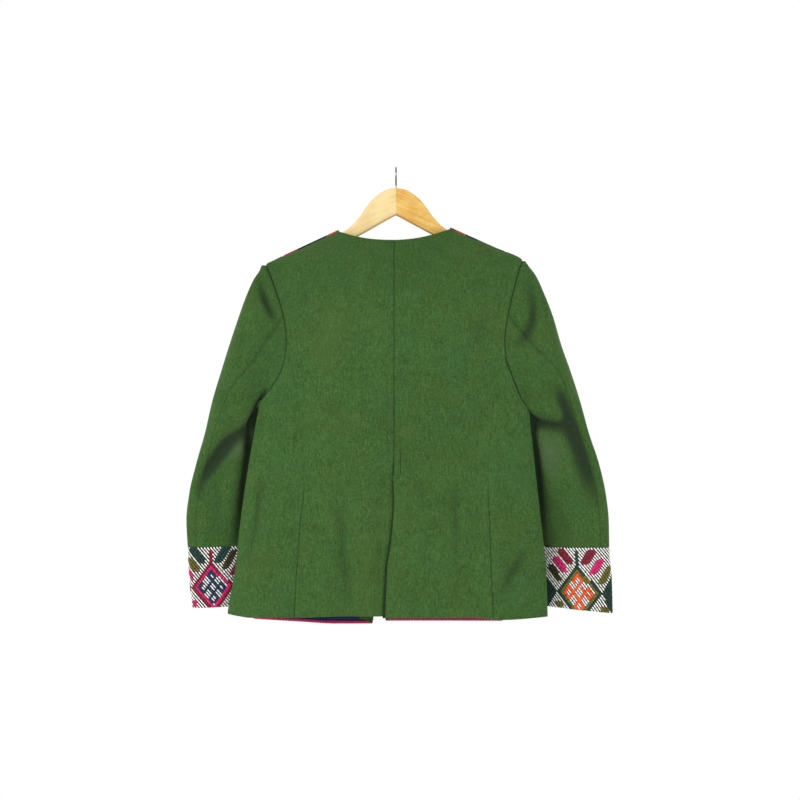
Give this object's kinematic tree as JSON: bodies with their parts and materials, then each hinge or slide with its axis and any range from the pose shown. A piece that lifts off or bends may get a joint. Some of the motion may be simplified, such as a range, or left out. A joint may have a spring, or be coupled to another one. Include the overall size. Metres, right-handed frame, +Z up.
{
  "type": "wool jacket on hanger",
  "caption": "Collarless wool jacket with embroidered cuffs, side panels and a back vent, hanging open on a wooden hanger with a wire hook.",
  "frame": {"origin": "inside of the top of the hanger's hook, where the part hangs", "axes": "+Z up, the jacket's back faces -Y, and +X is the side of the right sleeve"},
  "size_m": [0.6844, 0.1045, 0.7338],
  "materials": {
    "green_wool": "felted wool",
    "textile": "woven, many colours",
    "embroidery": "thick satin stitches",
    "edge_cord": "ribbed cord",
    "pale_wood": "satin lacquer",
    "warm_wood": "satin lacquer",
    "steel": "polished"
  },
  "bodies": {
    "root": {"back_left": "green_wool", "back_right": "green_wool", "side_back_left": "green_wool", "side_back_right": "green_wool", "front_left": "textile", "front_right": "textile", "side_front_left": "green_wool", "side_front_right": "green_wool", "front_facing_left": "green_wool", "front_facing_right": "green_wool", "upper_sleeve_left": "green_wool", "upper_sleeve_right": "green_wool", "under_sleeve_left": "green_wool", "under_sleeve_right": "green_wool", "cuff_left": "embroidery", "cuff_right": "embroidery", "edge_cord_left": "edge_cord", "edge_cord_right": "edge_cord", "hanger_left": "pale_wood", "hanger_right": "warm_wood", "hanger_hook": "steel"}
  },
  "joints": []
}
